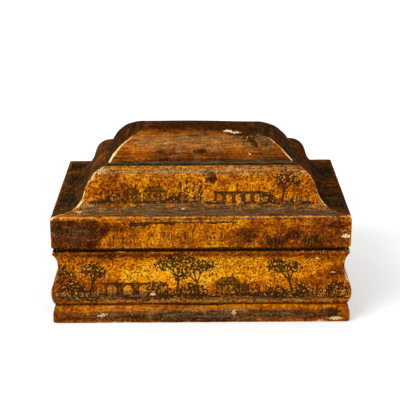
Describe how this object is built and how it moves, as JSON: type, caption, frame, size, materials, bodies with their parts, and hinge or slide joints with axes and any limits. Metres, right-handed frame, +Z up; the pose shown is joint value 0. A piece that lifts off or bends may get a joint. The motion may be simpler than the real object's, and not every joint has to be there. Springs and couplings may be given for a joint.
{
  "type": "lacquered wooden box",
  "caption": "Wooden casket for papers and keepsakes: moulded, waisted base and a stepped, domed lid on two butt hinges, finished in aged amber lacquer.",
  "frame": {"origin": "middle of the underside, on the surface the box stands on", "axes": "+Z up, +X along the box's length, the front faces -Y and the hinges are at +Y"},
  "size_m": [0.3032, 0.2172, 0.1838],
  "materials": {
    "lacquered_wood": "aged amber lacquer over gilded ground, speckled and worn at the edges",
    "board_wood": "plain planed softwood, darkened with age",
    "hinge_brass": "tarnished cast brass",
    "pin_iron": "dark drawn iron",
    "screw_iron": "dark filed iron",
    "nail_iron": "dark forged iron"
  },
  "bodies": {
    "base": {"plinth_front": "lacquered_wood", "plinth_back": "lacquered_wood", "plinth_left": "lacquered_wood", "plinth_right": "lacquered_wood", "base_front": "lacquered_wood", "base_back": "lacquered_wood", "base_left": "lacquered_wood", "base_right": "lacquered_wood", "bottom_board": "board_wood", "bottom_board_nails": "nail_iron", "hinge_left_base_leaf": "hinge_brass", "hinge_left_pin": "pin_iron", "hinge_left_base_screws": "screw_iron", "hinge_right_base_leaf": "hinge_brass", "hinge_right_pin": "pin_iron", "hinge_right_base_screws": "screw_iron"},
    "lid": {"lid_front": "lacquered_wood", "lid_back": "lacquered_wood", "lid_left": "lacquered_wood", "lid_right": "lacquered_wood", "ogee_front": "lacquered_wood", "ogee_back": "lacquered_wood", "ogee_left": "lacquered_wood", "ogee_right": "lacquered_wood", "top_panel": "board_wood", "crown": "lacquered_wood", "crown_nails": "nail_iron", "hinge_left_lid_leaf": "hinge_brass", "hinge_left_lid_screws": "screw_iron", "hinge_right_lid_leaf": "hinge_brass", "hinge_right_lid_screws": "screw_iron"}
  },
  "joints": [
    {"name": "lid_hinge", "type": "hinge", "parent": "base", "child": "lid", "pos_m": [0, 0.1046, 0.0794], "axis": [-1, 0, 0], "range_deg": [0, 100]}
  ]
}
